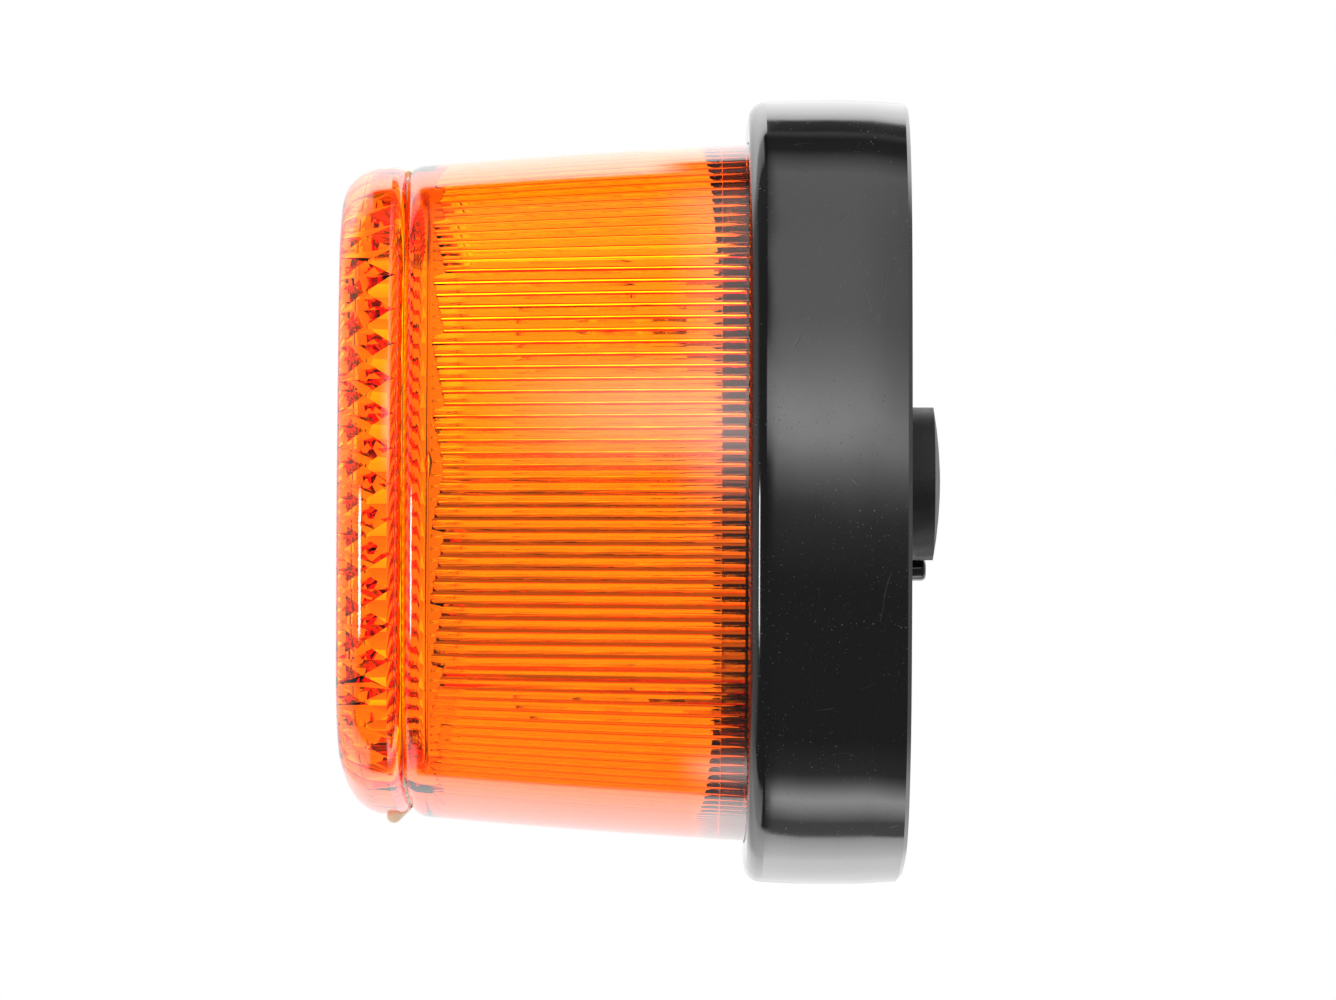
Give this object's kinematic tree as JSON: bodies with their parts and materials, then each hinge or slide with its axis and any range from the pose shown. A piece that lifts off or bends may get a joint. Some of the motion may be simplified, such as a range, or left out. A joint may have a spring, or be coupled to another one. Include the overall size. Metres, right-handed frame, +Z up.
{
  "type": "warning light",
  "caption": "Surface-mount amber warning lamp: rounded-square fluted lens with a prismatic front, black base, bayonet bulb in a sprung holder and a rubber cable bung on the rear face.",
  "frame": {"origin": "centre of the rear mounting face, on the lamp's axis", "axes": "-Y out of the lens, +Y out of the rear face, +Z up, +X to the side"},
  "size_m": [0.1, 0.0772, 0.1],
  "materials": {
    "black_plastic": "glossy moulded black, finely scratched",
    "amber_acrylic": "clear amber, polished",
    "black_rubber": "matte black",
    "zinc_steel": "zinc-plated",
    "tinned_metal": "tinned",
    "brass": "plain, slightly dulled",
    "fibre_board": "brown pressed fibre",
    "clear_glass": "clear",
    "black_glass": "fired black glass",
    "tungsten": "dull grey"
  },
  "bodies": {
    "base": {"base_housing": "black_plastic", "lens_gasket": "black_rubber", "cable_grommet": "black_rubber", "holder_bracket": "zinc_steel", "bracket_screw_left": "zinc_steel", "bracket_screw_right": "zinc_steel", "earth_tab": "tinned_metal", "holder_sleeve": "brass", "holder_rivet_left": "tinned_metal", "holder_rivet_right": "tinned_metal", "contact_spring": "zinc_steel"},
    "lens": {"lens_body": "amber_acrylic", "front_lens": "amber_acrylic"},
    "contact": {"insulator_disc": "fibre_board", "contact_stud": "brass"},
    "bulb": {"bulb_cap": "brass", "bulb_pin_left": "brass", "bulb_pin_right": "brass", "bulb_insulator": "black_glass", "bulb_contact": "tinned_metal", "bulb_glass": "clear_glass", "bulb_stem": "clear_glass", "bulb_lead_left": "tinned_metal", "bulb_lead_right": "tinned_metal", "bulb_filament": "tungsten"}
  },
  "joints": [
    {"name": "lens_pull", "type": "slide", "parent": "base", "child": "lens", "axis": [0, -1, 0], "range_m": [0, 0.06]},
    {"name": "bulb_push", "type": "slide", "parent": "base", "child": "contact", "axis": [0, 1, 0], "range_m": [0, 0.0015], "stiffness_N_per_m": 2000, "springref_m": -0.001, "deforming": ["contact_spring"]},
    {"name": "bulb_turn", "type": "hinge", "parent": "contact", "child": "bulb", "pos_m": [0, 0, 0], "axis": [0, -1, 0], "range_deg": [0, 25]}
  ]
}
